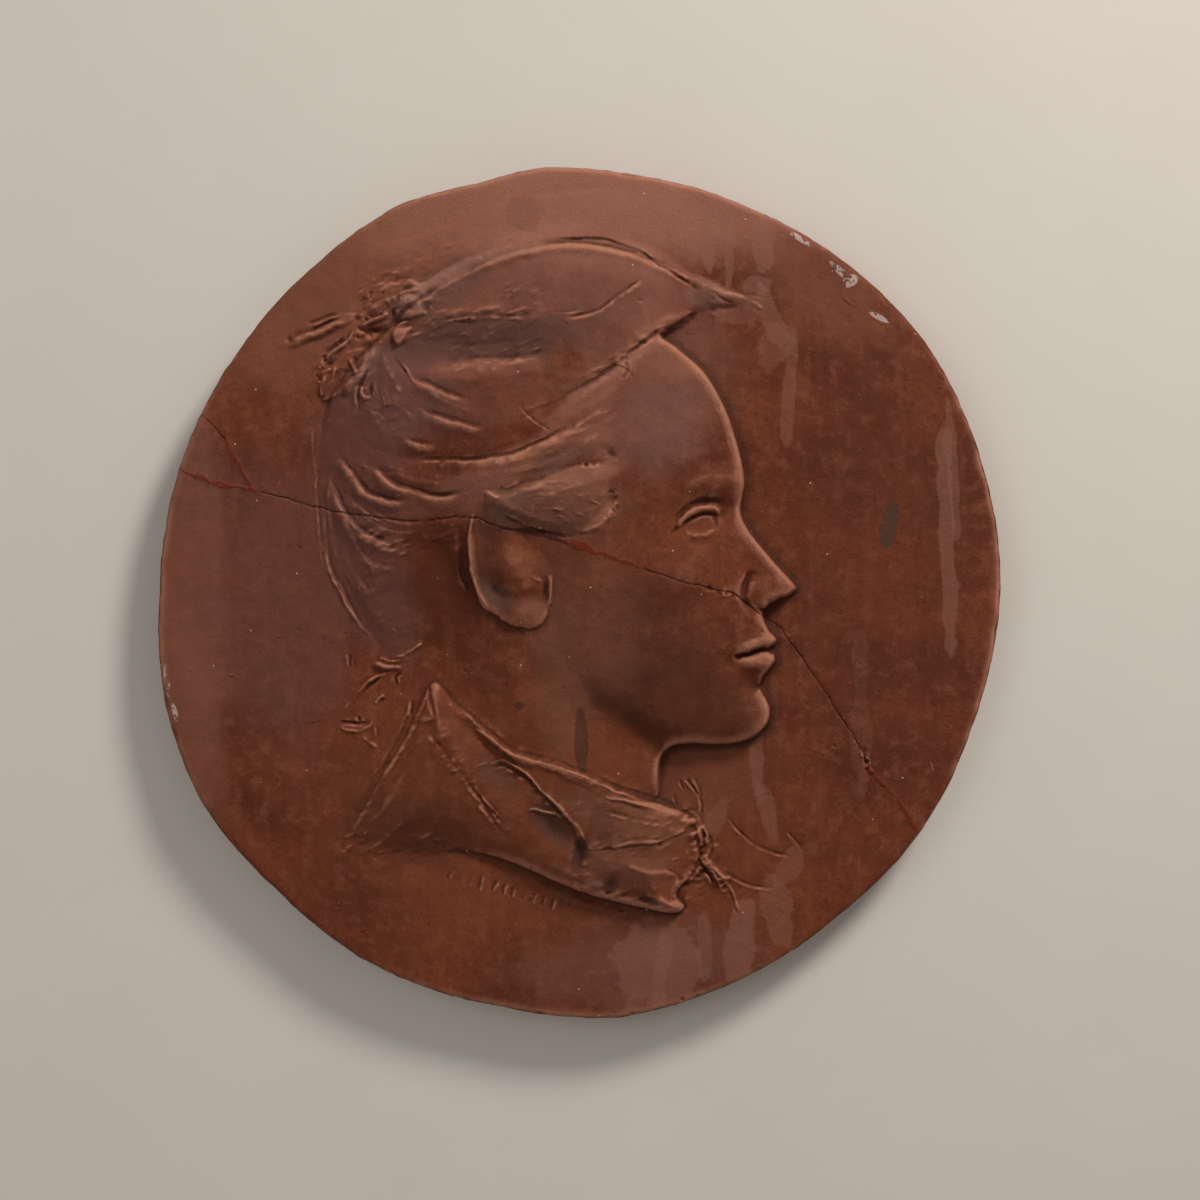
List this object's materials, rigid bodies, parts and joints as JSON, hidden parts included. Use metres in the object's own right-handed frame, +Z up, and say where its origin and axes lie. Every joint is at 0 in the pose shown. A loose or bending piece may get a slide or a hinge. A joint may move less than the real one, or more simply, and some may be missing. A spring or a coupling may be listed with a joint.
{
  "type": "terracotta medallion",
  "caption": "Round terracotta wall plaque with a profile head and shoulders in low relief, wearing a peaked cloth cap, cracked across and glued.",
  "frame": {"origin": "middle of the flat back, at the centre of the mean circle of the hand-cut edge", "axes": "+Z up as hung, +Y into the wall, the relief faces -Y, +X to the viewer's right, the way the head looks"},
  "size_m": [0.4226, 0.0492, 0.4271],
  "materials": {
    "terracotta": "unglazed, dull, brown-red fired clay, darkened by age"
  },
  "bodies": {
    "root": {"medallion": "terracotta"}
  },
  "joints": []
}
